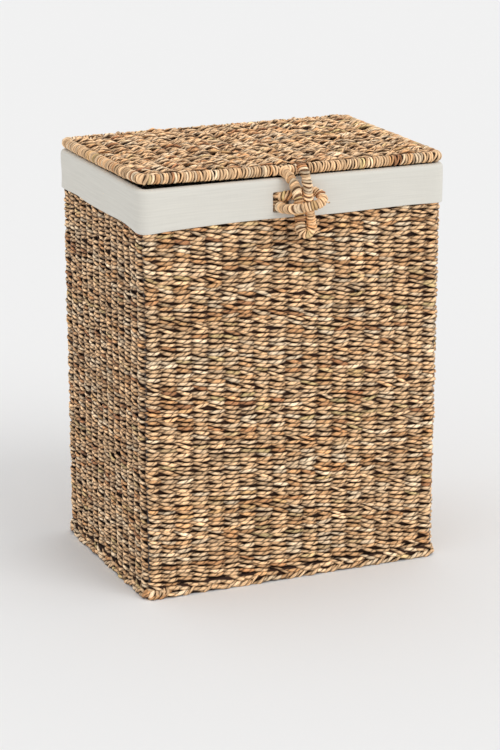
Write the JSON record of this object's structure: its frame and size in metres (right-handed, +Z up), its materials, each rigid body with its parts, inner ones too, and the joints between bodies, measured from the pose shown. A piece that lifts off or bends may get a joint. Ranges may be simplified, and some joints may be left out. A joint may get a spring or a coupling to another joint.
{
  "type": "laundry hamper",
  "caption": "Rectangular woven seagrass laundry hamper on a wire frame, with a cotton liner folded over the rim as a cuff, a hinged woven lid and a rope loop closure.",
  "frame": {"origin": "middle of the underside, on the floor", "axes": "+Z up, -Y front where the rope closure is, +X to the right seen from the front"},
  "size_m": [0.463, 0.3678, 0.6042],
  "materials": {
    "seagrass_weave": "matte",
    "wrapped_cord": "matte",
    "liner_cotton": "matte",
    "frame_wire": "satin"
  },
  "bodies": {
    "basket": {"base_wire_left": "frame_wire", "base_wire_middle": "frame_wire", "base_wire_right": "frame_wire", "buttonhole_binding": "liner_cotton", "closure_ring": "wrapped_cord", "foot_border": "seagrass_weave", "frame_bottom_ring": "frame_wire", "frame_post_back_left": "frame_wire", "frame_post_back_right": "frame_wire", "frame_post_front_left": "frame_wire", "frame_post_front_right": "frame_wire", "frame_stay_back_left": "frame_wire", "frame_stay_back_right": "frame_wire", "frame_stay_front_left": "frame_wire", "frame_stay_front_right": "frame_wire", "frame_stay_left": "frame_wire", "frame_stay_right": "frame_wire", "frame_top_ring": "frame_wire", "hinge_tie_left": "wrapped_cord", "hinge_tie_right": "wrapped_cord", "liner_bag": "liner_cotton", "liner_bottom": "liner_cotton", "liner_cuff": "liner_cotton", "liner_hem": "liner_cotton", "rim_border": "seagrass_weave", "woven_base": "seagrass_weave", "woven_wall": "seagrass_weave"},
    "lid": {"lid_border": "seagrass_weave", "lid_frame_ring": "frame_wire", "lid_panel": "seagrass_weave", "lid_wire_left": "frame_wire", "lid_wire_right": "frame_wire"},
    "lid_loop": {"loop_root": "wrapped_cord", "loop_cord": "wrapped_cord"}
  },
  "joints": [
    {"name": "lid_hinge", "type": "hinge", "parent": "basket", "child": "lid", "pos_m": [0, 0.1527, 0.5925], "axis": [-1, 0, 0], "range_deg": [0, 100]},
    {"name": "loop_swing", "type": "hinge", "parent": "lid", "child": "lid_loop", "pos_m": [0, -0.1527, 0.5925], "axis": [1, 0, 0], "range_deg": [0, 80]}
  ],
  "couplings": [
    {"joint": "loop_swing", "follows": "lid_hinge", "ratio": 0.8}
  ]
}
